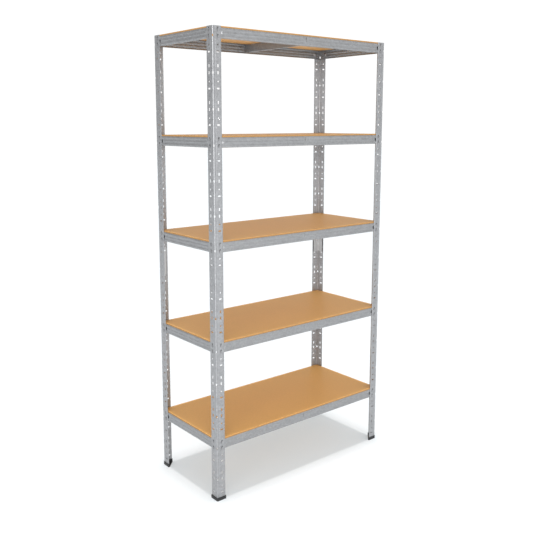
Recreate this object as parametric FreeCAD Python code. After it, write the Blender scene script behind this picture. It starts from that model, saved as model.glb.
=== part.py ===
"""Boltless steel shelving unit: four slotted angle posts, hooked beams and five loose boards.

Frame: +Z up, origin on the floor at the middle of the unit, front towards -Y. Millimetres.
Every piece is its own solid in its own STEP file under parts/.
"""
import FreeCAD, Part

import math
import os

from FreeCAD import Vector

# ---- driving dimensions -------------------------------------------------------------------
WIDTH = 900.0            # over the outer faces of the posts, along X
DEPTH = 400.0            # over the outer faces of the posts, along Y
HEIGHT = 1800.0          # floor to the top of the posts
SHELF_COUNT = 5
HOLE_PERIOD = 129.0      # height after which the hole pattern of a post repeats
PERIODS_PER_BAY = 3      # shelves hang this many hole periods apart

# posts: slotted angles, each in two halves that meet over an inner splice
POST_FLANGE = 38.0
POST_SHEET = 1.2
POST_BEND = 3.0          # outer radius of the bend
POST_SEAM = 900.0        # height where the two halves meet
SWAGE_START = 6.2        # stiffening swage, measured from the outer corner
SWAGE_END = 13.6
SWAGE_DEPTH = 0.6
SWAGE_SLOPE = 2.2        # width of each flank of the swage
SWAGE_ROUND = 2.5        # radius of its creases
LIP_WIDTH = 4.0          # free edge of the flange, bent slightly inwards
LIP_DEPTH = 0.8
LIP_ROUND = 1.6

# hole pattern of one flange
HOLE_LINE = 23.5         # from the outer corner
FIRST_HOLE = 33.0        # height of the lowest oblong
ROUND_RISE = 24.5        # round hole above the oblong
HOOK_RISES = (55.5, 80.0)
OBLONG_LENGTH, OBLONG_HEIGHT = 13.0, 6.0
ROUND_RADIUS = 3.2
HOOK_SLOT_WIDTH, HOOK_SLOT_HEIGHT = 6.0, 11.0
BEND_SLOT_WIDTH, BEND_SLOT_HEIGHT = 5.0, 8.0
BEND_SLOT_REACH = 4.5    # how far the punch goes in from the corner
SLOT_CORNER = 0.7
OBLONG_ROUND = OBLONG_HEIGHT / 2 - 0.1

# beams: pressed channels, with hooks on their ends and ribs along the face
BEAM_HEIGHT = 38.0
BEAM_SHEET = 1.0
BEAM_BEND = 2.0
LEDGE_WIDTH = 20.0       # carries the board
TOE_WIDTH = 8.0          # stiffening return at the bottom
BEAM_END = 6.0           # the face stops this far inside the outer plane of the unit
CORNER_NOTCH = 25.0      # ledge and toe of the side beams are cut back by this much
RIB_COUNT = 3
RIB_BASE, RIB_CREST = 6.4, 3.0
RIB_RISE = 0.9
RIB_RUNOUT = 5.1         # length of its sloping ends
RIB_END = 46.0           # ribs start this far inside the outer plane of the unit
RIB_MIDDLE_GAP = 12.0    # half the plain stretch at the middle of a long beam
DIMPLE_START = 28.0      # pressed dimple under the edge of the post, from the outer plane
DIMPLE_END = 45.0
DIMPLE_HEIGHT, DIMPLE_FLOOR = 15.0, 8.0     # across its mouth and across its floor
DIMPLE_DEPTH = 3.5
DIMPLE_RUNOUT = 5.0      # length of its sloping ends

# hooks
HOOK_WIDTH = 4.4
HOOK_THICKNESS = 1.2
HOOK_ROOT = 6.2          # height of the neck that passes through the slot
HOOK_DROP = 3.8          # how far the tooth hangs below the neck
HOOK_CLEARANCE = 0.15    # tooth to outer face of the post
HOOK_CORNER, HOOK_TIP, HOOK_NOTCH = 1.0, 0.5, 0.3

# centre ties: one channel under each board, front to rear
TIE_HEIGHT = 33.0
TIE_FLANGE = 16.0
TIE_TOE = 8.0
TIE_TONGUE_HEIGHT = 15.0
TIE_TONGUE_TOP = 5.0     # below the ledge
TIE_SLOT_CLEARANCE = 0.6
TIE_LEDGE_GAP = 1.0      # flange of the tie to the ledges of the beams

# splices
SPLICE_BOTTOM, SPLICE_TOP = 837.0, 952.0
SPLICE_LEG = 32.0
SPLICE_SHEET = 1.2
SPLICE_LIP = 4.0         # free edges, turned inwards by 45 degrees
SPLICE_NUB_WIDTH, SPLICE_NUB_HEIGHT = 4.6, 9.0
SPLICE_NUB_CORNER = 1.0

# feet
FOOT_FLOOR = 3.0         # plastic under the post
FOOT_WALL = 2.0
FOOT_WALL_HEIGHT = 13.0
FOOT_ROUND = 0.8         # rounding of the upright edges at the free ends
FOOT_CHAMFER = 0.5       # around the underside

# boards
BOARD_THICKNESS = 5.0
BOARD_INSET = 2.5        # from the outer plane of the unit to the edge of the board

GAP = 0.1                # running gap between neighbouring pieces
MARGIN = 1.0             # how far a cutter reaches past the sheet it cuts

# ---- derived ------------------------------------------------------------------------------
PERIOD_COUNT = int(HEIGHT // HOLE_PERIOD) + 1
BEAM_PLANE = POST_SHEET + max(SWAGE_DEPTH, LIP_DEPTH)   # outer face of a beam's web
SHELF_TOPS = [HEIGHT - HOLE_PERIOD * PERIODS_PER_BAY * i for i in range(SHELF_COUNT)]
ORIGIN = Vector(0, 0, 0)
ALONG_X, ALONG_Y, UP = Vector(1, 0, 0), Vector(0, 1, 0), Vector(0, 0, 1)


# ---- helpers ------------------------------------------------------------------------------
def rounded_wire(points, radii):
    """Closed wire through the points; each corner is rounded to its own radius, 0 keeps it sharp."""
    entries, exits, middles = [], [], []
    count = len(points)
    for i, (corner, radius) in enumerate(zip(points, radii)):
        to_before = (points[i - 1] - corner).normalize()
        to_after = (points[(i + 1) % count] - corner).normalize()
        if radius == 0:
            entries.append(corner)
            exits.append(corner)
            middles.append(None)
            continue
        half = to_before.getAngle(to_after) / 2
        reach = radius / math.tan(half)
        bisector = (to_before + to_after).normalize()
        centre = corner + bisector * (radius / math.sin(half))
        entries.append(corner + to_before * reach)
        exits.append(corner + to_after * reach)
        middles.append(centre - bisector * radius)
    edges = []
    for i in range(count):
        if middles[i] is not None:
            edges.append(Part.Arc(entries[i], middles[i], exits[i]).toShape())
        following = entries[(i + 1) % count]
        if (following - exits[i]).Length > 1e-6:
            edges.append(Part.LineSegment(exits[i], following).toShape())
    return Part.Wire(edges)


def prism(points, radii, direction):
    """Solid swept from a rounded outline along the direction vector."""
    return Part.Face(rounded_wire(points, radii)).extrude(direction)


def box(x, y, z):
    """Box between two limits on each axis, each given as a (low, high) pair."""
    return Part.makeBox(x[1] - x[0], y[1] - y[0], z[1] - z[0], Vector(x[0], y[0], z[0]))


def rounded_slot(centre, across, up_size, radius, depth_from, depth_to):
    """Rounded window cutter in a flange that faces -Y, centred on centre (x, z)."""
    x, z = centre
    half_x, half_z = across / 2, up_size / 2
    corners = [
        Vector(x - half_x, depth_from, z - half_z), Vector(x + half_x, depth_from, z - half_z),
        Vector(x + half_x, depth_from, z + half_z), Vector(x - half_x, depth_from, z + half_z),
    ]
    return prism(corners, [radius] * 4, ALONG_Y * (depth_to - depth_from))


def swap_xy(shape):
    """Mirror image that exchanges X and Y, which carries one flange of an angle onto the other."""
    return shape.mirror(ORIGIN, Vector(1, -1, 0).normalize())


def one_solid(shape, name):
    """The single valid solid of a shape; anything else means a broken piece."""
    solids = shape.Solids
    if len(solids) != 1 or not solids[0].isValid():
        raise ValueError(f"{name}: {len(solids)} solids")
    return solids[0]


def export(name, shape):
    """Writes one piece to its own STEP file."""
    solid = one_solid(shape, name)
    solid.exportStep(f"parts/{name}.step")
    print(f"{name:30s} {solid.Volume / 1000:9.2f} cm3")


def to_corner(shape, x_side, y_side):
    """Moves a piece made around a corner at the origin to a corner of the unit, mirrored to suit."""
    moved = shape.translated(Vector(-WIDTH / 2, -DEPTH / 2, 0))
    if x_side > 0:
        moved = moved.mirror(ORIGIN, ALONG_X)
    if y_side > 0:
        moved = moved.mirror(ORIGIN, ALONG_Y)
    return moved


CORNERS = {
    "front_left": (-1, -1), "front_right": (1, -1), "rear_left": (-1, 1), "rear_right": (1, 1),
}


# ---- posts --------------------------------------------------------------------------------
def flange_profile():
    """Outer face of one flange from the bend to the free edge, as (along, depth) points."""
    return [
        (SWAGE_START, 0.0),
        (SWAGE_START + SWAGE_SLOPE, SWAGE_DEPTH),
        (SWAGE_END - SWAGE_SLOPE, SWAGE_DEPTH),
        (SWAGE_END, 0.0),
        (POST_FLANGE - LIP_WIDTH, 0.0),
        (POST_FLANGE, LIP_DEPTH),
    ]


def post_section(z):
    """Outline and corner radii of the angle, with its outer corner on the origin."""
    outer = flange_profile()
    inner = [(along, depth + POST_SHEET) for along, depth in outer]
    along_x = [Vector(a, d, z) for a, d in outer]
    back_x = [Vector(a, d, z) for a, d in reversed(inner)]
    along_y = [Vector(d, a, z) for a, d in inner]
    back_y = [Vector(d, a, z) for a, d in reversed(outer)]
    inner_corner = Vector(POST_SHEET, POST_SHEET, z)
    points = [Vector(0, 0, z), *along_x, *back_x, inner_corner, *along_y, *back_y]
    creases = [SWAGE_ROUND] * 4 + [LIP_ROUND, 0]
    leg = creases + creases[::-1]
    return points, [POST_BEND, *leg, POST_BEND - POST_SHEET, *leg]


def hole_levels(bottom, top):
    """Heights of the oblongs whose whole period, or part of it, lies between two heights."""
    levels = [FIRST_HOLE + HOLE_PERIOD * k for k in range(PERIOD_COUNT)]
    return [z for z in levels if bottom - HOLE_PERIOD < z < top]


def flange_holes(bottom, top):
    """Cutters for the holes of the flange that faces -Y."""
    depth_from, depth_to = -MARGIN, POST_SHEET + MARGIN
    cutters = []
    for level in hole_levels(bottom, top):
        windows = [(level, OBLONG_LENGTH, OBLONG_HEIGHT, OBLONG_ROUND)]
        windows += [(level + rise, HOOK_SLOT_WIDTH, HOOK_SLOT_HEIGHT, SLOT_CORNER)
                    for rise in HOOK_RISES]
        for z, across, tall, radius in windows:
            if bottom < z < top:
                cutters.append(
                    rounded_slot((HOLE_LINE, z), across, tall, radius, depth_from, depth_to))
        z = level + ROUND_RISE
        if bottom < z < top:
            start = Vector(HOLE_LINE, depth_from, z)
            cutters.append(Part.makeCylinder(ROUND_RADIUS, depth_to - depth_from, start, ALONG_Y))
    return cutters


def bend_slots(bottom, top):
    """Cutters for the small slots punched through the bend."""
    cutters = []
    for level in hole_levels(bottom, top):
        z = level + HOOK_RISES[0]
        if bottom < z < top:
            cutter = box((-BEND_SLOT_WIDTH / 2, BEND_SLOT_WIDTH / 2), (-MARGIN, BEND_SLOT_REACH),
                         (z - BEND_SLOT_HEIGHT / 2, z + BEND_SLOT_HEIGHT / 2))
            cutter.rotate(ORIGIN, UP, -45)
            cutters.append(cutter)
    return cutters


def post_half(bottom, top):
    """One half of a post between two heights, with its corner on the origin."""
    points, radii = post_section(bottom)
    blank = prism(points, radii, UP * (top - bottom))
    front = flange_holes(bottom, top)
    side = [swap_xy(cutter) for cutter in front]
    return blank.cut(Part.makeCompound(front + side + bend_slots(bottom, top)))


# ---- splices ------------------------------------------------------------------------------
def splice():
    """Angle nested inside a post across its seam; nubs sit in the hook slots of the lower half."""
    near = BEAM_PLANE + GAP / 2
    far = near + SPLICE_SHEET
    slant = math.sqrt(0.5)
    lip = SPLICE_LIP * slant
    bend_at = SPLICE_LEG - lip
    shift = SPLICE_SHEET * math.tan(math.pi / 8)
    outer = [(bend_at, near), (SPLICE_LEG, near + lip)]
    inner = [(bend_at - shift, far),
             (SPLICE_LEG - SPLICE_SHEET * slant, near + lip + SPLICE_SHEET * slant)]
    z = SPLICE_BOTTOM
    points = [Vector(near, near, z), *[Vector(a, d, z) for a, d in outer],
              *[Vector(a, d, z) for a, d in reversed(inner)], Vector(far, far, z),
              *[Vector(d, a, z) for a, d in inner],
              *[Vector(d, a, z) for a, d in reversed(outer)]]
    radii = [POST_BEND, 0, 0, 0, 0, POST_BEND - SPLICE_SHEET, 0, 0, 0, 0]
    body = prism(points, radii, UP * (SPLICE_TOP - SPLICE_BOTTOM))
    nubs, windows = [], []
    for level in hole_levels(SPLICE_BOTTOM, SPLICE_TOP):
        for rise in HOOK_RISES:
            if SPLICE_BOTTOM < level + rise < POST_SEAM:
                nubs.append(rounded_slot((HOLE_LINE, level + rise), SPLICE_NUB_WIDTH,
                                         SPLICE_NUB_HEIGHT, SPLICE_NUB_CORNER,
                                         POST_SHEET / 3, near + 2 * GAP))
        if level > POST_SEAM:
            windows.append(rounded_slot((HOLE_LINE, level), OBLONG_LENGTH, OBLONG_HEIGHT,
                                        OBLONG_ROUND, -MARGIN, far + MARGIN))
    nubs += [swap_xy(nub) for nub in nubs]
    windows += [swap_xy(window) for window in windows]
    return body.fuse(nubs).cut(Part.makeCompound(windows))


# ---- feet ---------------------------------------------------------------------------------
def angle_outline(start, reach, thickness, z):
    """L outline whose outer faces lie at depth start and whose legs end at reach."""
    end = start + thickness
    return [Vector(start, start, z), Vector(reach, start, z), Vector(reach, end, z),
            Vector(end, end, z), Vector(end, reach, z), Vector(start, reach, z)]


def foot():
    """Plastic cap: walls on both sides of the post, on a floor that also fills the corner."""
    low, reach = -GAP - FOOT_WALL, POST_FLANGE + GAP + FOOT_WALL
    inner_start = BEAM_PLANE + GAP
    inner_end = inner_start + FOOT_WALL
    bend = FOOT_WALL + POST_BEND
    walls = prism(angle_outline(low, reach, inner_end - low, 0),
                  [bend, FOOT_ROUND, FOOT_ROUND, 0, FOOT_ROUND, FOOT_ROUND],
                  UP * FOOT_WALL_HEIGHT)
    pocket = prism(angle_outline(-GAP, POST_FLANGE + GAP, GAP + inner_start, FOOT_FLOOR),
                   [POST_BEND, 0, 0, 0, 0, 0], UP * FOOT_WALL_HEIGHT)
    corners = [(low, low), (reach, low), (reach, inner_end), (inner_end, reach), (low, reach)]
    floor = prism([Vector(x, y, 0) for x, y in corners],
                  [bend, FOOT_ROUND, FOOT_ROUND, FOOT_ROUND, FOOT_ROUND], UP * FOOT_FLOOR)
    cap = walls.cut(pocket).fuse(floor).removeSplitter()
    floor_edges = [edge for edge in cap.Edges if abs(edge.BoundBox.ZMax) < 1e-6]
    return cap.makeChamfer(FOOT_CHAMFER, floor_edges)


# ---- beams --------------------------------------------------------------------------------
def channel_section(x):
    """Outline of a beam across its length: ledge, face and toe; z = 0 is the top of the ledge."""
    near, far = BEAM_PLANE, BEAM_PLANE + BEAM_SHEET
    ledge, toe = BEAM_PLANE + LEDGE_WIDTH, BEAM_PLANE + TOE_WIDTH
    corners = [(ledge, 0), (near, 0), (near, -BEAM_HEIGHT), (toe, -BEAM_HEIGHT),
               (toe, -BEAM_HEIGHT + BEAM_SHEET), (far, -BEAM_HEIGHT + BEAM_SHEET),
               (far, -BEAM_SHEET), (ledge, -BEAM_SHEET)]
    inner_bend = BEAM_BEND - BEAM_SHEET
    radii = [0, BEAM_BEND, BEAM_BEND, 0, 0, inner_bend, inner_bend, 0]
    return [Vector(x, y, z) for y, z in corners], radii


def pressing(x_ends, z, mouth, floor, runout, rise):
    """Low frustum on the face of a beam: mouth and floor are heights, a rise below 0 goes inwards."""
    def loop(inset, height, y):
        corners = [(x_ends[0] + inset, z - height / 2), (x_ends[1] - inset, z - height / 2),
                   (x_ends[1] - inset, z + height / 2), (x_ends[0] + inset, z + height / 2)]
        return Part.makePolygon([Vector(x, y, h) for x, h in corners + corners[:1]])

    return Part.makeLoft([loop(0, mouth, BEAM_PLANE), loop(runout, floor, BEAM_PLANE - rise)],
                         True, True)


def ribs(half, is_long):
    """Raised bars along the face; on a long beam they stop short of the tie slot."""
    stretches = [(-half + RIB_END, half - RIB_END)]
    if is_long:
        stretches = [(-half + RIB_END, -RIB_MIDDLE_GAP), (RIB_MIDDLE_GAP, half - RIB_END)]
    pitch = BEAM_HEIGHT / RIB_COUNT
    return [pressing(ends, -pitch * (i + 0.5), RIB_BASE, RIB_CREST, RIB_RUNOUT, RIB_RISE)
            for ends in stretches for i in range(RIB_COUNT)]


def dimples(half):
    """Pressed hollows at mid-height, one at each end, that reach out from behind the posts."""
    return [pressing(sorted((side * (half - DIMPLE_START), side * (half - DIMPLE_END))),
                     -BEAM_HEIGHT / 2, DIMPLE_HEIGHT, DIMPLE_FLOOR, DIMPLE_RUNOUT, -DIMPLE_DEPTH)
            for side in (-1, 1)]


def hook(x, slot_height):
    """Hook in a slot at slot_height, measured from the top of the ledge: neck, then a tooth."""
    neck_low = slot_height - HOOK_SLOT_HEIGHT / 2 + GAP / 2
    neck_high = neck_low + HOOK_ROOT
    tooth_low = neck_low - HOOK_DROP
    near, outer = -HOOK_CLEARANCE, -HOOK_CLEARANCE - HOOK_THICKNESS
    root = BEAM_PLANE + BEAM_SHEET / 2
    corners = [(root, neck_high), (outer, neck_high), (outer, tooth_low), (near, tooth_low),
               (near, neck_low), (root, neck_low)]
    start = x - HOOK_WIDTH / 2
    return prism([Vector(start, y, z) for y, z in corners],
                 [0, HOOK_CORNER, HOOK_TIP, HOOK_NOTCH, 0, 0], ALONG_X * HOOK_WIDTH)


def beam(span, is_long):
    """One beam in front of the origin: outer plane at y = 0, middle at x = 0, ledge top at z = 0."""
    half = span / 2
    points, radii = channel_section(-half + BEAM_END)
    channel = prism(points, radii, ALONG_X * (span - 2 * BEAM_END))
    behind_face = (BEAM_PLANE + BEAM_SHEET, BEAM_PLANE + LEDGE_WIDTH + MARGIN)
    if not is_long:
        for side in (-1, 1):
            ends = sorted((side * half, side * (half - CORNER_NOTCH)))
            channel = channel.cut(box(ends, behind_face, (-BEAM_HEIGHT - MARGIN, MARGIN)))
    outward, inward = ribs(half, is_long), dimples(half)
    behind = ALONG_Y * BEAM_SHEET
    # the slots that a beam hangs in, as seen from the top of its ledge
    top_slots = [FIRST_HOLE + HOLE_PERIOD * (PERIOD_COUNT - 1) + rise for rise in HOOK_RISES]
    slot_heights = [z - (HEIGHT - BOARD_THICKNESS) for z in top_slots]
    hooks = [hook(side * (half - HOLE_LINE), z) for side in (-1, 1) for z in slot_heights]
    raised = outward + hooks + [dimple.translated(behind) for dimple in inward]
    hollow = inward + [rib.translated(behind) for rib in outward]
    if is_long:
        hollow.append(tie_slot())
    return channel.fuse(raised).cut(Part.makeCompound(hollow))


def tie_slot():
    """Upright slot at the middle of a long beam, which the tongue of the centre tie enters."""
    z = -TIE_TONGUE_TOP - TIE_TONGUE_HEIGHT / 2
    return rounded_slot((0, z), BEAM_SHEET + 2 * TIE_SLOT_CLEARANCE,
                        TIE_TONGUE_HEIGHT + 2 * TIE_SLOT_CLEARANCE, TIE_SLOT_CLEARANCE,
                        0, BEAM_PLANE + BEAM_SHEET + MARGIN)


def hang(shape, side, ledge_top):
    """Turns a beam to its side of the unit and lifts it to its height."""
    offset = DEPTH / 2 if side in ("front", "rear") else WIDTH / 2
    turn = {"front": 0, "left": -90, "rear": 180, "right": 90}[side]
    moved = shape.translated(Vector(0, -offset, ledge_top))
    moved.rotate(ORIGIN, UP, turn)
    return moved


# ---- centre ties --------------------------------------------------------------------------
def centre_tie():
    """Channel from front beam to rear beam at x = 0; z = 0 is the underside of the board."""
    half = BEAM_SHEET / 2
    face = DEPTH / 2 - BEAM_PLANE - BEAM_SHEET - GAP
    flange = DEPTH / 2 - BEAM_PLANE - LEDGE_WIDTH - TIE_LEDGE_GAP
    web_top = -BEAM_BEND - GAP      # clears the inner bend of the beams
    web = box((-half, half), (-face, face), (-TIE_HEIGHT, web_top))
    crown = box((-half, half), (-flange, flange), (web_top, 0))
    ledge = box((-half, TIE_FLANGE), (-flange, flange), (-BEAM_SHEET, 0))
    toe = box((-half, TIE_TOE), (-face + LEDGE_WIDTH, face - LEDGE_WIDTH),
              (-TIE_HEIGHT, -TIE_HEIGHT + BEAM_SHEET))
    tip = DEPTH / 2 - BEAM_PLANE + RIB_RISE
    tongue_low = -TIE_TONGUE_TOP - TIE_TONGUE_HEIGHT
    tongue = box((-half, half), (-tip, tip), (tongue_low, -TIE_TONGUE_TOP))
    return web.fuse([crown, ledge, toe, tongue]).removeSplitter()


# ---- boards -------------------------------------------------------------------------------
def board(top):
    """Loose hardboard panel that lies on the ledges of four beams."""
    half_x, half_y = WIDTH / 2 - BOARD_INSET, DEPTH / 2 - BOARD_INSET
    return box((-half_x, half_x), (-half_y, half_y), (top - BOARD_THICKNESS, top))


# ---- build --------------------------------------------------------------------------------
def main():
    """Builds every piece and writes it."""
    os.makedirs("parts", exist_ok=True)
    lower, upper = post_half(FOOT_FLOOR, POST_SEAM), post_half(POST_SEAM, HEIGHT)
    inner_angle, cap = splice(), foot()
    for corner, (x_side, y_side) in CORNERS.items():
        export(f"post_{corner}_lower", to_corner(lower, x_side, y_side))
        export(f"post_{corner}_upper", to_corner(upper, x_side, y_side))
        export(f"splice_{corner}", to_corner(inner_angle, x_side, y_side))
        export(f"foot_{corner}", to_corner(cap, x_side, y_side))
    beams = {"front": beam(WIDTH, True), "left": beam(DEPTH, False)}
    beams["rear"], beams["right"] = beams["front"], beams["left"]
    tie = centre_tie()
    for number, top in enumerate(reversed(SHELF_TOPS), start=1):
        ledge_top = top - BOARD_THICKNESS
        for side, shape in beams.items():
            export(f"beam_{side}_{number}", hang(shape, side, ledge_top))
        export(f"centre_tie_{number}", tie.translated(UP * ledge_top))
        export(f"board_{number}", board(top))


main()
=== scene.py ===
"""Looks of a boltless steel shelving unit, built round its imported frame.

Metres, +Z up, front towards -Y. The slotted posts, splices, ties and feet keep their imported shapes
and get a finish; beams and boards are made again here with the soft creases and eased edges of the
real pieces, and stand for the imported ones.
"""
import logging
import math
from collections.abc import Sequence
from dataclasses import dataclass
from enum import Enum

import bmesh
import bpy
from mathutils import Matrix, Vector


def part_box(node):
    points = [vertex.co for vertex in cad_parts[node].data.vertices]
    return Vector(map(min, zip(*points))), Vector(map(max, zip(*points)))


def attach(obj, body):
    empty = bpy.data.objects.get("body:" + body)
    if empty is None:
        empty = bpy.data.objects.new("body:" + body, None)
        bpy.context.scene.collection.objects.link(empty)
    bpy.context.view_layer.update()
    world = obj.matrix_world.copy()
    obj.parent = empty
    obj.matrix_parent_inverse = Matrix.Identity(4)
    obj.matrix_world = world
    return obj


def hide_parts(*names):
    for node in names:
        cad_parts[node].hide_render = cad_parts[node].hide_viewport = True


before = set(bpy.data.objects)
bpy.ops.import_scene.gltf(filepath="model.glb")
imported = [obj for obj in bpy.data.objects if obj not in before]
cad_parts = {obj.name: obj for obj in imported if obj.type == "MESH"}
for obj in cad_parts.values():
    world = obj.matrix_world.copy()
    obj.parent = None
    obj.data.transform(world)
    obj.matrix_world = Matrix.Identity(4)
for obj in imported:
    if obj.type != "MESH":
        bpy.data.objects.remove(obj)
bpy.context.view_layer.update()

logging.basicConfig(level=logging.INFO, format="%(message)s")
log = logging.getLogger("shelving")

MM = 0.001
Number = float | int
Triple = tuple[float, float, float]
Colour = Triple

WHITE: Colour = (1.0, 1.0, 1.0)
RAY_SAMPLES = 4
EDGE_GAIN = 4.0
# Shares of open surroundings at which a hollow starts to count and at which it counts in full.
HOLLOW_RANGE = (0.7, 0.2)
# Turns between two faces in degrees: up to the first they are one face, from the second their
# edge is sharp.
FLAT_TURN = 0.5
SHARP_TURN = 40.0
EASING_SEGMENTS = 2
ROUND_PROFILE = 0.5


# ---- shader helpers -----------------------------------------------------------------------
class Wire:
    """One output of a shader graph, usable in Python arithmetic."""

    def __init__(self, graph: "Graph", socket: bpy.types.NodeSocket) -> None:
        """Wraps a socket.

        Args:
            graph: graph that the socket belongs to.
            socket: output socket that carries the value.
        """
        self.graph = graph
        self.socket = socket

    def __add__(self, other: "Wire | Number") -> "Wire":
        """This value plus another."""
        return self.graph.maths("ADD", self, other)

    def __radd__(self, other: Number) -> "Wire":
        """A number plus this value."""
        return self.graph.maths("ADD", other, self)

    def __sub__(self, other: "Wire | Number") -> "Wire":
        """This value less another."""
        return self.graph.maths("SUBTRACT", self, other)

    def __rsub__(self, other: Number) -> "Wire":
        """A number less this value."""
        return self.graph.maths("SUBTRACT", other, self)

    def __mul__(self, other: "Wire | Number") -> "Wire":
        """This value times another."""
        return self.graph.maths("MULTIPLY", self, other)

    def __rmul__(self, other: Number) -> "Wire":
        """A number times this value."""
        return self.graph.maths("MULTIPLY", other, self)

    def clamped(self) -> "Wire":
        """This value held between 0 and 1."""
        return self.graph.node("ShaderNodeClamp", {}, {0: self, 1: 0.0, 2: 1.0})

    def absolute(self) -> "Wire":
        """This value without its sign."""
        return self.graph.maths("ABSOLUTE", self)

    def step(self, low: float, high: float) -> "Wire":
        """A smooth rise from 0 at low to 1 at high.

        Args:
            low: value where the rise starts.
            high: value where it ends; below low, the rise becomes a fall.

        Returns:
            The smoothed value.
        """
        return self.graph.node("ShaderNodeMapRange", {"interpolation_type": "SMOOTHSTEP"},
                               {"Value": self, "From Min": low, "From Max": high})


class Graph:
    """Node tree of a material or of the world, with the helpers that the finishes share."""

    def __init__(self, owner: bpy.types.Material | bpy.types.World) -> None:
        """Wraps the node tree of its owner.

        Args:
            owner: material or world that the tree belongs to.
        """
        owner.use_nodes = True
        self.owner = owner
        self.tree = owner.node_tree

    @classmethod
    def of_material(cls, name: str) -> "Graph":
        """A graph for a new material, which starts with a Principled shader."""
        return cls(bpy.data.materials.new(name))

    def connect(self, socket: bpy.types.NodeSocket,
                value: "Wire | Number | Sequence[float]") -> None:
        """Links a wire to an input, or sets the input's own value.

        Args:
            socket: input to feed.
            value: wire, number or colour.
        """
        if isinstance(value, Wire):
            self.tree.links.new(value.socket, socket)
        else:
            socket.default_value = value

    def node(self, kind: str, settings: dict, sockets: dict, output: int | str = 0) -> Wire:
        """Adds one node.

        Args:
            kind: node type.
            settings: properties, set before the sockets.
            sockets: input name or index to wire, number or colour.
            output: name or index of the output wanted.

        Returns:
            The wanted output.
        """
        made = self.tree.nodes.new(kind)
        for name, value in settings.items():
            setattr(made, name, value)
        for name, value in sockets.items():
            self.connect(made.inputs[name], value)
        return Wire(self, made.outputs[output])

    def maths(self, operation: str, *values: "Wire | Number") -> Wire:
        """Adds a Math node on the values."""
        return self.node("ShaderNodeMath", {"operation": operation}, dict(enumerate(values)))

    def mix(self, factor: "Wire | Number", low: "Wire | Colour", high: "Wire | Colour") -> Wire:
        """Blends two colours.

        Args:
            factor: share of the second colour.
            low: first colour.
            high: second colour.

        Returns:
            The blended colour.
        """
        sockets = {0: factor, 6: self.opaque(low), 7: self.opaque(high)}
        return self.node("ShaderNodeMix", {"data_type": "RGBA"}, sockets, 2)

    @staticmethod
    def opaque(colour: "Wire | Colour") -> "Wire | tuple[float, ...]":
        """A plain colour with full alpha; a wire stays as it is."""
        return colour if isinstance(colour, Wire) else (*colour, 1.0)

    def place(self, stretch: Triple = (1.0, 1.0, 1.0)) -> Wire:
        """Position on the piece in metres, each axis multiplied by its own factor."""
        place = self.node("ShaderNodeTexCoord", {}, {}, "Object")
        return self.node("ShaderNodeVectorMath", {"operation": "MULTIPLY"}, {0: place, 1: stretch})

    def facing(self, axis: str) -> Wire:
        """Share of the surface normal along one axis of the piece, without its sign."""
        normal = self.node("ShaderNodeTexCoord", {}, {}, "Normal")
        return self.node("ShaderNodeSeparateXYZ", {}, {0: normal}, axis).absolute()

    def noise(self, place: Wire, size: float, detail: float = 3.0, rough: float = 0.55) -> Wire:
        """Cloudy noise from 0 to 1.

        Args:
            place: position to read it at.
            size: size of its largest features, in the units of place.
            detail: number of finer layers.
            rough: weight of the finer layers.

        Returns:
            The noise value.
        """
        sockets = {"Vector": place, "Scale": 1 / size, "Detail": detail, "Roughness": rough}
        return self.node("ShaderNodeTexNoise", {}, sockets)

    def crystals(self, place: Wire, size: float) -> Wire:
        """A random level from 0 to 1 for each cell of a crystal pattern.

        Args:
            place: position to read it at.
            size: size of a crystal, in the units of place.

        Returns:
            The level.
        """
        sockets = {"Vector": place, "Scale": 1 / size}
        colour = self.node("ShaderNodeTexVoronoi", {}, sockets, "Color")
        return self.node("ShaderNodeSeparateColor", {}, {0: colour}, 0)

    def edges(self, radius: float) -> Wire:
        """From 0 on open faces to 1 along sharp edges.

        Args:
            radius: how far from an edge the level fades out, in metres.

        Returns:
            The level.
        """
        rounded = self.node("ShaderNodeBevel", {"samples": RAY_SAMPLES}, {"Radius": radius})
        plain = self.node("ShaderNodeNewGeometry", {}, {}, "Normal")
        level = self.node("ShaderNodeVectorMath", {"operation": "DOT_PRODUCT"},
                          {0: rounded, 1: plain}, "Value")
        return ((1.0 - level) * EDGE_GAIN).clamped()

    def crevices(self, reach: float) -> Wire:
        """From 0 on open faces to 1 deep inside narrow hollows.

        Args:
            reach: how far off another surface still counts, in metres.

        Returns:
            The level.
        """
        open_share = self.node("ShaderNodeAmbientOcclusion", {"samples": RAY_SAMPLES},
                               {"Distance": reach}, "AO")
        return open_share.step(*HOLLOW_RANGE)

    def warp(self, place: Wire, size: float, reach: float) -> Wire:
        """Position shifted by cloudy noise, so that what is read there has ragged borders.

        Args:
            place: position to shift.
            size: size of the noise, in the units of place.
            reach: how far it shifts, in the units of place.

        Returns:
            The shifted position.
        """
        sockets = {"Vector": place, "Scale": 1 / size}
        cloud = self.node("ShaderNodeTexNoise", {}, sockets, "Color")
        drift = self.node("ShaderNodeVectorMath", {"operation": "SCALE"},
                          {0: cloud, "Scale": reach})
        return self.node("ShaderNodeVectorMath", {"operation": "ADD"}, {0: place, 1: drift})

    def finish(self, surface: dict, bump: Wire | None = None, depth: float = 0.0,
               rounding: float = 0.0) -> bpy.types.Material:
        """Feeds the shader.

        Args:
            surface: shader input name to wire, number or colour.
            bump: height from 0 to 1.
            depth: height of the bump in metres.
            rounding: radius that sharp edges are shown with, in metres.

        Returns:
            The material.
        """
        shader = self.tree.nodes["Principled BSDF"]
        for name, value in surface.items():
            self.connect(shader.inputs[name], value)
        normal = None
        if rounding:
            normal = self.node("ShaderNodeBevel", {"samples": RAY_SAMPLES}, {"Radius": rounding})
        if bump is not None:
            sockets = {"Strength": 1.0, "Distance": depth, "Height": bump}
            if normal is not None:
                sockets["Normal"] = normal
            normal = self.node("ShaderNodeBump", {}, sockets)
        if normal is not None:
            self.connect(shader.inputs["Normal"], normal)
        return self.owner


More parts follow.
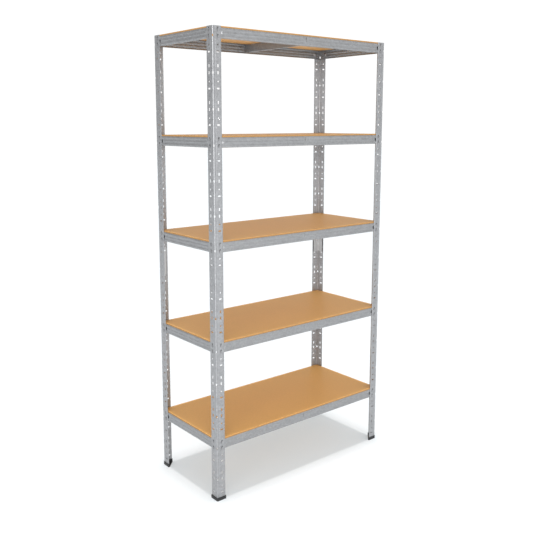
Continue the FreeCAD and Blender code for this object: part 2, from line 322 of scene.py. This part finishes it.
class Grain(Enum):
    """Rolling direction of a sheet part, as the factors that draw its streaks out along it."""

    ALONG_X = (0.02, 1.0, 1.0)
    ALONG_Y = (1.0, 0.02, 1.0)
    ALONG_Z = (1.0, 1.0, 0.02)


# ---- finishes -----------------------------------------------------------------------------
def scaled(colour: Colour, factor: float) -> Colour:
    """A colour made darker or lighter by a factor, up to full white."""
    return tuple(min(1.0, factor * part) for part in colour)


@dataclass(frozen=True)
class GalvanisedSteel:
    """Hot-dip zinc on rolled sheet: small crystals, faint rolling streaks, brighter sheared edges.

    Patterns have a size in metres, a contrast, which is how far they move the tone between its
    shade and its shine, and a relief, which is their share of the height of the bump.
    """

    name: str
    grain: Grain
    tone: Colour = (0.365, 0.368, 0.378)
    shade: float = 0.62
    shine: float = 1.38
    crystal: float = 7 * MM
    crystal_contrast: float = 0.24
    crystal_relief: float = 0.35
    fine_crystal: float = 2.8 * MM
    fine_contrast: float = 0.16
    border: float = 4.5 * MM
    raggedness: float = 3 * MM
    streak: float = 1.6 * MM
    streak_detail: float = 2.0
    streak_contrast: float = 0.16
    streak_relief: float = 0.4
    cloud: float = 60 * MM
    cloud_contrast: float = 0.12
    pit: float = 0.9 * MM
    pit_relief: float = 0.25
    relief: float = 0.012 * MM
    edge: float = 0.5 * MM
    edge_light: float = 0.25
    edge_polish: float = 0.1
    rounding: float = 0.35 * MM
    roughness: float = 0.44
    roughness_spread: float = 0.06
    metal: float = 0.9
    # Painted shade: sheet this near another surface darkens towards a near-black shade colour.
    crevice: float = 6 * MM
    crevice_shade: float = 0.85
    crevice_shade_colour: Colour = (0.05, 0.05, 0.052)

    def material(self) -> bpy.types.Material:
        """Builds the shader for this direction of sheet.

        Returns:
            The material.
        """
        graph = Graph.of_material(self.name)
        place = graph.place()
        warped = graph.warp(place, self.border, self.raggedness)
        crystal = graph.crystals(warped, self.crystal)
        fine = graph.crystals(warped, self.fine_crystal)
        streak = graph.noise(graph.place(self.grain.value), self.streak, self.streak_detail)
        cloud = graph.noise(place, self.cloud)
        pits = graph.noise(place, self.pit)
        edge = graph.edges(self.edge)
        level = (crystal - 0.5) * self.crystal_contrast + (fine - 0.5) * self.fine_contrast
        level = level + (streak - 0.5) * self.streak_contrast + (cloud - 0.5) * self.cloud_contrast
        level = (level + 0.5 + edge * self.edge_light).clamped()
        sheet = graph.mix(level, scaled(self.tone, self.shade), scaled(self.tone, self.shine))
        # Painted shade: narrow hollows, dimples and inner corners darken towards the shade colour.
        crevice_shaded = graph.mix(graph.crevices(self.crevice) * self.crevice_shade, sheet, self.crevice_shade_colour)
        rough = (crystal - 0.5) * self.roughness_spread + (cloud - 0.5) * self.roughness_spread
        rough = rough + self.roughness - edge * self.edge_polish
        height = crystal * self.crystal_relief + streak * self.streak_relief
        height = height + pits * self.pit_relief
        return graph.finish({"Base Color": crevice_shaded, "Roughness": rough, "Metallic": self.metal},
                            height, self.relief, self.rounding)


@dataclass(frozen=True)
class BrightZinc:
    """Electroplated zinc on the splices: brighter and smoother than the hot-dipped sheet."""

    name: str
    tone: Colour = (0.56, 0.565, 0.572)
    shade: float = 0.82
    streak: float = 1.0 * MM
    streak_detail: float = 2.0
    streak_contrast: float = 0.8
    relief: float = 0.01 * MM
    edge: float = 0.4 * MM
    edge_light: float = 0.3
    rounding: float = 0.3 * MM
    roughness: float = 0.36
    roughness_spread: float = 0.12
    metal: float = 0.85

    def material(self) -> bpy.types.Material:
        """Builds the shader.

        Returns:
            The material.
        """
        graph = Graph.of_material(self.name)
        streak = graph.noise(graph.place(Grain.ALONG_Z.value), self.streak, self.streak_detail)
        edge = graph.edges(self.edge)
        level = (streak * self.streak_contrast + edge * self.edge_light).clamped()
        plating = graph.mix(level, scaled(self.tone, self.shade), self.tone)
        rough = streak * self.roughness_spread + self.roughness - self.roughness_spread / 2
        return graph.finish({"Base Color": plating, "Roughness": rough, "Metallic": self.metal},
                            streak, self.relief, self.rounding)


@dataclass(frozen=True)
class Hardboard:
    """Pressed wood fibre: fine speckled faces, and sawn edges that are darker and coarser."""

    name: str
    face: Colour = (0.685, 0.368, 0.104)
    shade: float = 0.84
    shine: float = 1.13
    fibre: float = 1.4 * MM
    fibre_detail: float = 4.0
    fibre_fineness: float = 0.7
    fibre_contrast: float = 0.9
    fibre_relief: float = 0.6
    blotch: float = 9 * MM
    blotch_detail: float = 2.0
    blotch_contrast: float = 0.5
    cloud: float = 140 * MM
    cloud_contrast: float = 0.3
    fleck: float = 4 * MM
    fleck_stretch: Triple = (1.0, 0.35, 1.0)
    fleck_range: tuple[float, float] = (0.62, 0.78)
    fleck_shade: float = 0.72
    fleck_share: float = 0.35
    fleck_relief: float = 0.1
    edge: Colour = (0.43, 0.225, 0.075)
    edge_shade: float = 0.78
    edge_roughness: float = 0.25
    layer: float = 0.7 * MM
    layer_detail: float = 2.0
    layer_stretch: Triple = (0.08, 0.08, 1.0)
    flat_range: tuple[float, float] = (0.3, 0.8)
    relief: float = 0.06 * MM
    roughness: float = 0.46
    roughness_spread: float = 0.14
    specular: float = 0.4

    def material(self) -> bpy.types.Material:
        """Builds the shader for faces and edges.

        Returns:
            The material.
        """
        graph = Graph.of_material(self.name)
        place = graph.place()
        flat = graph.facing("Z").step(*self.flat_range)
        fibre = graph.noise(place, self.fibre, self.fibre_detail, self.fibre_fineness)
        fleck = graph.noise(graph.place(self.fleck_stretch), self.fleck).step(*self.fleck_range)
        blotch = graph.noise(place, self.blotch, self.blotch_detail)
        cloud = graph.noise(place, self.cloud)
        layer = graph.noise(graph.place(self.layer_stretch), self.layer, self.layer_detail)
        level = (fibre - 0.5) * self.fibre_contrast + (blotch - 0.5) * self.blotch_contrast
        level = (level + (cloud - 0.5) * self.cloud_contrast + 0.5).clamped()
        plain = graph.mix(level, scaled(self.face, self.shade), scaled(self.face, self.shine))
        top = graph.mix(fleck * self.fleck_share, plain, scaled(self.face, self.fleck_shade))
        sawn = graph.mix(layer, scaled(self.edge, self.edge_shade), self.edge)
        rough = (fibre - 0.5) * self.roughness_spread + self.roughness
        rough = rough + (1.0 - flat) * self.edge_roughness
        height = fibre * self.fibre_relief + fleck * self.fleck_relief + (1.0 - flat) * layer
        return graph.finish({"Base Color": graph.mix(flat, sawn, top), "Roughness": rough,
                             "Specular IOR Level": self.specular}, height, self.relief)


@dataclass(frozen=True)
class MouldedPlastic:
    """Black polyethylene of the feet, with a fine spark-eroded grain and rubbed edges."""

    name: str
    tone: Colour = (0.012, 0.012, 0.013)
    rubbed: Colour = (0.05, 0.05, 0.052)
    grain: float = 0.5 * MM
    grain_detail: float = 2.0
    relief: float = 0.04 * MM
    cloud: float = 9 * MM
    cloud_wear: float = 0.15
    edge: float = 0.7 * MM
    edge_wear: float = 1.2
    rounding: float = 0.4 * MM
    roughness: float = 0.32
    roughness_spread: float = 0.15

    def material(self) -> bpy.types.Material:
        """Builds the shader.

        Returns:
            The material.
        """
        graph = Graph.of_material(self.name)
        place = graph.place()
        grain = graph.noise(place, self.grain, self.grain_detail)
        cloud = graph.noise(place, self.cloud)
        edge = graph.edges(self.edge)
        wear = (edge * cloud * self.edge_wear + (cloud - 0.5) * self.cloud_wear).clamped()
        rough = grain * self.roughness_spread + cloud * self.roughness_spread + self.roughness
        return graph.finish({"Base Color": graph.mix(wear, self.tone, self.rubbed),
                             "Roughness": rough}, grain, self.relief, self.rounding)


@dataclass(frozen=True)
class StudioFloor:
    """Pale matt floor, lit a little from within so that the ground shadow stays light."""

    name: str
    base: Colour = (0.42, 0.42, 0.42)
    glow: Colour = (0.322, 0.358, 0.380)
    roughness: float = 0.9

    def material(self) -> bpy.types.Material:
        """Builds the shader.

        Returns:
            The material.
        """
        graph = Graph.of_material(self.name)
        return graph.finish({"Base Color": graph.opaque(self.base), "Roughness": self.roughness,
                             "Emission Color": graph.opaque(self.glow),
                             "Emission Strength": 1.0, "Specular IOR Level": 0.0})


# ---- mesh helpers -------------------------------------------------------------------------
def new_piece(name: str, mesh: bmesh.types.BMesh,
              material: bpy.types.Material) -> bpy.types.Object:
    """Makes an object of a finished mesh.

    Args:
        name: name of the piece.
        mesh: geometry, which is freed.
        material: finish of all its faces.

    Returns:
        The new object, in the scene.
    """
    data = bpy.data.meshes.new(name)
    mesh.to_mesh(data)
    mesh.free()
    data.materials.append(material)
    piece = bpy.data.objects.new(name, data)
    bpy.context.scene.collection.objects.link(piece)
    return piece


def add_rounding(piece: bpy.types.Object, width: float, turn: float = SHARP_TURN) -> None:
    """Adds the rounding of sharp edges to a piece.

    Args:
        piece: object to ease.
        width: width of the rounding in metres.
        turn: edges that turn by less than this many degrees are left alone.
    """
    bevel = piece.modifiers.new("eased_edges", "BEVEL")
    bevel.width = width
    bevel.segments = EASING_SEGMENTS
    bevel.limit_method = "ANGLE"
    bevel.angle_limit = math.radians(turn)
    bevel.harden_normals = True


def ease_edges(piece: bpy.types.Object, width: float, turn: float = SHARP_TURN) -> None:
    """Rounds the sharp edges of a piece and shades it smooth.

    Args:
        piece: object to ease.
        width: width of the rounding in metres.
        turn: edges that turn by less than this many degrees are left alone.
    """
    add_rounding(piece, width, turn)
    for polygon in piece.data.polygons:
        polygon.use_smooth = True


def ease_packed(node: str, width: float) -> None:
    """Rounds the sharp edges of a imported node, once its flat faces are whole again.

    Args:
        node: name of the node.
        width: width of the rounding in metres.
    """
    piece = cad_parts[node]
    flat = piece.modifiers.new("whole_faces", "DECIMATE")
    flat.decimate_type = "DISSOLVE"
    flat.angle_limit = math.radians(FLAT_TURN)
    add_rounding(piece, width)


def smooth(share: float) -> float:
    """A share held between 0 and 1, with a soft start and end."""
    held = min(1.0, max(0.0, share))
    return held * held * (3 - 2 * held)


def dress(node: str, material: bpy.types.Material) -> None:
    """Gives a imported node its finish.

    Args:
        node: name of the node.
        material: finish of all its faces.
    """
    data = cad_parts[node].data
    data.materials.clear()
    data.materials.append(material)


# ---- sub-assemblies -----------------------------------------------------------------------
CORNERS = ("front_left", "front_right", "rear_left", "rear_right")
LEVELS = range(1, 6)
THIN_SHEET_TONE: Colour = (0.335, 0.338, 0.346)


@dataclass
class Posts:
    """Slotted angle posts in two halves, with the splices inside them."""

    # Posts take a lighter share of the painted shade in hollows than beams and ties.
    finish: GalvanisedSteel = GalvanisedSteel("post_zinc", Grain.ALONG_Z, crevice_shade=0.55)
    # Painted light: a lighter copy of the post zinc stands for brighter light falling on one post.
    painted_light_finish: GalvanisedSteel = GalvanisedSteel(
        "painted_light_post_zinc", Grain.ALONG_Z, tone=(0.420, 0.423, 0.433), crevice_shade=0.55)
    painted_light_corner: str = "rear_right"
    splice_finish: BrightZinc = BrightZinc("splice_zinc")

    def build(self) -> None:
        """Dresses the halves and the splices; one post is a little lighter, as painted light."""
        steel, light = self.finish.material(), self.painted_light_finish.material()
        bright = self.splice_finish.material()
        for corner in CORNERS:
            for half in ("lower", "upper"):
                # The post at the painted-light corner gets the lighter, painted-light copy.
                dress(f"post_{corner}_{half}", light if corner == self.painted_light_corner else steel)
            dress(f"splice_{corner}", bright)


@dataclass
class Feet:
    """Plastic caps under the posts."""

    finish: MouldedPlastic = MouldedPlastic("foot_plastic")
    easing: float = 0.35 * MM

    def build(self) -> None:
        """Dresses the caps and eases their moulded edges."""
        plastic = self.finish.material()
        for corner in CORNERS:
            dress(f"foot_{corner}", plastic)
            ease_packed(f"foot_{corner}", self.easing)


class Side(Enum):
    """Side of the unit that a beam hangs on, as the turn in degrees that takes the front there."""

    FRONT = 0
    RIGHT = 90
    REAR = 180
    LEFT = 270

    def is_long(self) -> bool:
        """Whether the beams of this side run along the width of the unit."""
        return self in (Side.FRONT, Side.REAR)


@dataclass
class Beams:
    """Hooked beams, four to a shelf: pressed sheet with soft ribs, and the hooks on its ends.

    A beam is drawn as a sheet of rows across its section and columns along its length. Each point
    is (along, depth, height): from the middle of the beam, in from the outer plane of the unit, and
    up from the top of the ledge.
    """

    long_finish: GalvanisedSteel = GalvanisedSteel(
        "long_beam_zinc", Grain.ALONG_X, THIN_SHEET_TONE)
    side_finish: GalvanisedSteel = GalvanisedSteel(
        "side_beam_zinc", Grain.ALONG_Y, THIN_SHEET_TONE)
    height: float = 38 * MM
    sheet: float = 1.0 * MM
    bend: float = 2.0 * MM
    bend_steps: int = 4
    ledge: float = 20 * MM
    toe: float = 8 * MM
    plane: float = 2.0 * MM
    end: float = 6 * MM
    notch: float = 25 * MM
    rib_count: int = 3
    rib_base: float = 6.4 * MM
    rib_crest: float = 3.0 * MM
    rib_rise: float = 0.9 * MM
    rib_steps: int = 4
    rib_start: float = 46 * MM
    rib_runout: float = 5 * MM
    rib_bow: float = 3 * MM
    middle_gap: float = 12 * MM
    column_pitch: float = 80 * MM
    dimple_middle: float = 34 * MM
    dimple_to_post: float = 6.5 * MM
    dimple_to_ribs: float = 12.5 * MM
    dimple_rise: float = 8 * MM
    dimple_depth: float = 3.8 * MM
    dimple_steps: int = 12
    dimple_rows: int = 4
    tie_slot: tuple[float, float] = (2.2 * MM, 16.2 * MM)
    tie_slot_middle: float = 12.5 * MM
    hook_line: float = 23.5 * MM
    hook_rises: tuple[float, float] = (-10.45 * MM, -34.95 * MM)
    hook_width: float = 4.4 * MM
    hook_sheet: float = 1.2 * MM
    hook_neck: float = 6.2 * MM
    hook_drop: float = 3.8 * MM
    hook_clearance: float = 0.15 * MM
    hook_corner: float = 0.72 * MM
    easing: float = 0.22 * MM
    soft_turn: float = 50.0

    def build(self) -> None:
        """Makes the beams of every shelf."""
        along_x, along_y = self.long_finish.material(), self.side_finish.material()
        for level in LEVELS:
            for side in Side:
                material = along_x if side.is_long() else along_y
                self.beam(f"beam_{side.name.lower()}_{level}", side, material)

    def heights(self, is_long: bool) -> list[float]:
        """Heights of the rows on the face, from the upper bend to the lower one.

        Args:
            is_long: whether the face has a tie slot.

        Returns:
            The heights, from the top down.
        """
        pitch = self.height / self.rib_count
        rows = {-self.bend, -self.height + self.bend}
        for rib in range(self.rib_count):
            middle = -pitch * (rib + 0.5)
            for step in range(-self.rib_steps, self.rib_steps + 1):
                rows.add(middle + step / self.rib_steps * self.rib_base / 2)
        for step in range(self.dimple_rows + 1):
            off = self.dimple_rise * (1 + step / self.dimple_rows) / 2
            rows.update((-self.height / 2 - off, -self.height / 2 + off))
        if is_long:
            tall = self.tie_slot[1] / 2
            rows.update((-self.tie_slot_middle - tall, -self.tie_slot_middle + tall))
        return sorted((row for row in rows if row >= -self.height + self.bend), reverse=True)

    def section(self, is_long: bool) -> list[tuple[float, float]]:
        """Rows of the sheet's outer face, from the ledge to the toe.

        Args:
            is_long: whether the face has a tie slot.

        Returns:
            The rows as (depth, height).
        """
        turns = [math.pi / 2 * step / self.bend_steps for step in range(self.bend_steps + 1)]
        centre = self.plane + self.bend
        upper = [(centre - self.bend * math.sin(turn), -self.bend + self.bend * math.cos(turn))
                 for turn in turns]
        lower = [(centre - self.bend * math.cos(turn),
                  self.bend - self.height - self.bend * math.sin(turn)) for turn in turns]
        face = [(self.plane, height) for height in self.heights(is_long)]
        return [(self.plane + self.ledge, 0.0), *upper, *face[1:-1], *lower,
                (self.plane + self.toe, -self.height)]

    def columns(self, half: float, is_long: bool) -> list[float]:
        """Places of the columns along the beam, evenly spaced between the features.

        Args:
            half: half the span of the beam.
            is_long: whether the beam has a tie slot.

        Returns:
            The places, from one end to the other.
        """
        runout = half - self.rib_start - self.rib_runout
        places = {half - self.end, half - self.notch, runout, runout + self.rib_runout / 2}
        dimple_length = self.dimple_to_post + self.dimple_to_ribs
        for step in range(self.dimple_steps + 1):
            places.add(half - self.dimple_middle + self.dimple_to_post
                       - dimple_length * step / self.dimple_steps)
        if is_long:
            places.update((self.tie_slot[0] / 2, self.middle_gap,
                           self.middle_gap + self.rib_runout))
        found = sorted(places | {-place for place in places})
        spaced = [found[0]]
        for before, after in zip(found, found[1:]):
            parts = max(1, round((after - before) / self.column_pitch))
            spaced += [before + (after - before) * part / parts for part in range(1, parts + 1)]
        return spaced

    def rise(self, along: float, height: float, half: float, is_long: bool) -> float:
        """How far the face stands out on its ribs, or below 0 lies in a dimple, at a point.

        Args:
            along: place along the beam.
            height: height on the face.
            half: half the span of the beam.
            is_long: whether the ribs stop short of a tie slot.

        Returns:
            The rise in metres.
        """
        pitch = self.height / self.rib_count
        off = abs((-height) % pitch - pitch / 2)
        slope = (self.rib_base - self.rib_crest) / 2
        across = smooth((self.rib_base / 2 - off) / slope)
        bow = self.rib_bow * (1 - (1 + 2 * height / self.height) ** 2)
        reach = smooth((half - self.rib_start - abs(along) + bow) / self.rib_runout)
        if is_long:
            reach *= smooth((abs(along) - self.middle_gap) / self.rib_runout)
        inboard = half - abs(along) - self.dimple_middle
        length = self.dimple_to_ribs if inboard > 0 else self.dimple_to_post
        dimple = smooth(1 - abs(inboard) / length)
        dimple *= smooth(2 - 2 * abs(height + self.height / 2) / self.dimple_rise)
        return self.rib_rise * across * reach - self.dimple_depth * dimple

    def beam(self, name: str, side: Side, material: bpy.types.Material) -> bpy.types.Object:
        """Makes one beam.

        Args:
            name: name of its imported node.
            side: side of the unit.
            material: finish.

        Returns:
            The beam.
        """
        is_long = side.is_long()
        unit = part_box("post_rear_right_lower")[1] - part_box("post_front_left_lower")[0]
        half = (unit.x if is_long else unit.y) / 2
        mesh = bmesh.new()
        self.sheet_metal(mesh, half, is_long)
        for end in (-1, 1):
            for rise in self.hook_rises:
                self.hook(mesh, end * (half - self.hook_line), rise)
        outer = (unit.y if is_long else unit.x) / 2
        turn, top = math.radians(side.value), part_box(name)[1].z
        for vertex in mesh.verts:
            along, inward, height = vertex.co
            x, y = along, inward - outer
            vertex.co = (x * math.cos(turn) - y * math.sin(turn),
                         x * math.sin(turn) + y * math.cos(turn), height + top)
        piece = new_piece(f"steel_{name}", mesh, material)
        ease_edges(piece, self.easing, self.soft_turn)
        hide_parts(name)
        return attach(piece, "frame")

    def sheet_metal(self, mesh: bmesh.types.BMesh, half: float, is_long: bool) -> None:
        """Adds the pressed sheet of a beam.

        Args:
            mesh: mesh to add to.
            half: half the span of the beam.
            is_long: whether it is a front or rear beam.
        """
        rows, columns = self.section(is_long), self.columns(half, is_long)
        grid = [[mesh.verts.new((along, depth - self.rise(along, height, half, is_long)
                                 if depth == self.plane else depth, height))
                 for depth, height in rows] for along in columns]
        behind_face = self.plane + self.sheet
        for i, (left, right) in enumerate(zip(grid, grid[1:])):
            along = (columns[i] + columns[i + 1]) / 2
            for j in range(len(rows) - 1):
                on_face = (rows[j][0] + rows[j + 1][0]) / 2 < behind_face
                off_slot = abs((rows[j][1] + rows[j + 1][1]) / 2 + self.tie_slot_middle)
                if is_long:
                    opened = (on_face and abs(along) < self.tie_slot[0] / 2
                              and off_slot < self.tie_slot[1] / 2)
                else:
                    opened = not on_face and abs(along) > half - self.notch
                if not opened:
                    mesh.faces.new((left[j], left[j + 1], right[j + 1], right[j]))
        bmesh.ops.delete(mesh, geom=[vert for vert in mesh.verts if not vert.link_faces],
                         context="VERTS")
        bmesh.ops.solidify(mesh, geom=mesh.faces[:], thickness=self.sheet)

    def hook(self, mesh: bmesh.types.BMesh, along: float, rise: float) -> None:
        """Adds one hook: a neck through the slot of the post, then a tooth down its outer face.

        Args:
            mesh: mesh to add to.
            along: middle of the hook along the beam.
            rise: height of the underside of the neck.
        """
        root = self.plane + self.sheet / 2
        near, outer = -self.hook_clearance, -self.hook_clearance - self.hook_sheet
        top, tip = rise + self.hook_neck, rise - self.hook_drop
        outline = [(root, top), (outer + self.hook_corner, top), (outer, top - self.hook_corner),
                   (outer, tip), (near, tip), (near, rise), (root, rise)]
        half = self.hook_width / 2
        sides = [[mesh.verts.new((along + side * half, depth, height)) for depth, height in outline]
                 for side in (-1, 1)]
        faces = [mesh.faces.new(sides[0]), mesh.faces.new(sides[1])]
        for i in range(len(outline)):
            faces.append(mesh.faces.new((sides[0][i - 1], sides[0][i],
                                         sides[1][i], sides[1][i - 1])))
        bmesh.ops.recalc_face_normals(mesh, faces=faces)


@dataclass
class CentreTies:
    """Channel under the middle of each board, from the front beam to the rear one."""

    finish: GalvanisedSteel = GalvanisedSteel("tie_zinc", Grain.ALONG_Y, THIN_SHEET_TONE)
    easing: float = 0.25 * MM

    def build(self) -> None:
        """Dresses the ties and eases their edges."""
        material = self.finish.material()
        for level in LEVELS:
            dress(f"centre_tie_{level}", material)
            ease_packed(f"centre_tie_{level}", self.easing)


@dataclass
class Boards:
    """Loose hardboard panels."""

    finish: Hardboard = Hardboard("hardboard")
    arris: float = 0.5 * MM
    corner: float = 1.0 * MM
    corner_segments: int = 3

    def build(self) -> None:
        """Makes one panel for each level and lets it ride on its own body."""
        material = self.finish.material()
        for level in LEVELS:
            self.panel(level, material)

    def panel(self, level: int, material: bpy.types.Material) -> bpy.types.Object:
        """Makes one panel with sanded edges.

        Args:
            level: number of the shelf, from the bottom.
            material: finish of the panel.

        Returns:
            The panel.
        """
        low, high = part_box(f"board_{level}")
        mesh = bmesh.new()
        bmesh.ops.create_cube(mesh, size=1.0)
        for vertex in mesh.verts:
            vertex.co = Vector([low[i] if vertex.co[i] < 0 else high[i] for i in range(3)])
        upright = [edge for edge in mesh.edges
                   if abs(edge.verts[0].co.z - edge.verts[1].co.z) > self.arris]
        bmesh.ops.bevel(mesh, geom=upright, offset=self.corner, segments=self.corner_segments,
                        profile=ROUND_PROFILE, affect="EDGES")
        piece = new_piece(f"shelf_board_{level}", mesh, material)
        ease_edges(piece, self.arris)
        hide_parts(f"board_{level}")
        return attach(piece, f"board_{level}")


# ---- studio -------------------------------------------------------------------------------
@dataclass(frozen=True)
class Softbox:
    """A large soft lamp that only the unit and the floor see."""

    name: str
    place: Triple
    aim: Triple
    size: tuple[float, float]
    glow: float

    def hang(self) -> None:
        """Puts the lamp in its place, turned to what it lights."""
        lamp = bpy.data.lights.new(self.name, "AREA")
        lamp.shape = "RECTANGLE"
        lamp.size, lamp.size_y = self.size
        lamp.energy = self.glow * math.pi * lamp.size * lamp.size_y
        box = bpy.data.objects.new(self.name, lamp)
        box.location = self.place
        box.rotation_euler = (Vector(self.aim) - box.location).to_track_quat("-Z", "Y").to_euler()
        box.visible_camera = False
        bpy.context.scene.collection.objects.link(box)


@dataclass
class Studio:
    """Floor, light and camera round the unit."""

    floor_finish: StudioFloor = StudioFloor("studio_floor")
    floor_size: float = 60.0
    backdrop: float = 1.05
    sky_behind: float = 0.62
    sky_ahead: float = 0.9
    sky_bearing: Triple = (0.5, -0.87, 0.0)
    sun_strength: float = 2.75
    sun_angle: float = 5.5
    key: Softbox = Softbox(
        "key_box", place=(-4.7, -5.5, 2.4), aim=(0.0, 0.0, 0.9), size=(7.6, 5.0), glow=4.1)
    side: Softbox = Softbox(
        "side_box", place=(0.8, -2.0, 1.0), aim=(-0.45, -0.2, 0.9), size=(0.9, 1.9), glow=0.35)
    eye: Triple = (-1.929, -2.318, 1.457)
    yaw: float = 39.16
    pitch: float = -8.88
    lens: float = 47.94
    sensor: float = 36.0
    clip: tuple[float, float] = (0.05, 200.0)
    shift: tuple[float, float] = (0.0, -0.060)

    def build(self) -> None:
        """Makes the floor, the lights and the camera."""
        self.floor()
        self.world()
        self.sun()
        self.key.hang()
        self.side.hang()
        self.camera()

    def floor(self) -> None:
        """Lays a large floor just under the feet."""
        mesh = bmesh.new()
        bmesh.ops.create_grid(mesh, x_segments=1, y_segments=1, size=self.floor_size / 2)
        piece = new_piece("studio_ground", mesh, self.floor_finish.material())

    def world(self) -> None:
        """White surroundings: plain behind the unit, and as a light a little brighter in front."""
        world = bpy.data.worlds.new("studio_world")
        bpy.context.scene.world = world
        graph = Graph(world)
        white = graph.opaque(WHITE)
        around = graph.node("ShaderNodeTexCoord", {}, {}, "Generated")
        bearing = graph.node("ShaderNodeVectorMath", {"operation": "DOT_PRODUCT"},
                             {0: around, 1: self.sky_bearing}, "Value")
        level = graph.node("ShaderNodeMapRange", {},
                           {"Value": bearing, "From Min": -1.0, "To Min": self.sky_behind,
                            "To Max": self.sky_ahead})
        lit = graph.node("ShaderNodeBackground", {}, {"Color": white, "Strength": level})
        seen = graph.node("ShaderNodeBackground", {}, {"Color": white, "Strength": self.backdrop})
        by_camera = graph.node("ShaderNodeLightPath", {}, {}, "Is Camera Ray")
        both = graph.node("ShaderNodeMixShader", {}, {0: by_camera, 1: lit, 2: seen})
        graph.connect(graph.tree.nodes["World Output"].inputs["Surface"], both)

    def sun(self) -> None:
        """Lights the unit from straight above, so that its shadow is its own footprint."""
        lamp = bpy.data.lights.new("overhead", "SUN")
        lamp.energy = self.sun_strength
        lamp.angle = math.radians(self.sun_angle)
        bpy.context.scene.collection.objects.link(bpy.data.objects.new("overhead", lamp))

    def camera(self) -> None:
        """Sets the camera at the eye, looking along its yaw and pitch."""
        data = bpy.data.cameras.new("camera")
        data.sensor_width = self.sensor
        data.lens = self.lens
        data.shift_x, data.shift_y = self.shift
        data.clip_start, data.clip_end = self.clip
        camera = bpy.data.objects.new("camera", data)
        yaw, pitch = math.radians(self.yaw), math.radians(self.pitch)
        ahead = Vector((math.sin(yaw) * math.cos(pitch), math.cos(yaw) * math.cos(pitch),
                        math.sin(pitch)))
        camera.location = self.eye
        camera.rotation_euler = ahead.to_track_quat("-Z", "Y").to_euler()
        bpy.context.scene.collection.objects.link(camera)
        bpy.context.scene.camera = camera
        bpy.context.scene.view_settings.view_transform = "Standard"


def main() -> None:
    """Builds every sub-assembly in order and reports each."""
    for part in (Posts(), Feet(), Beams(), CentreTies(), Boards(), Studio()):
        part.build()
        log.info("built %s", type(part).__name__.lower())


if __name__ == "__main__":
    main()
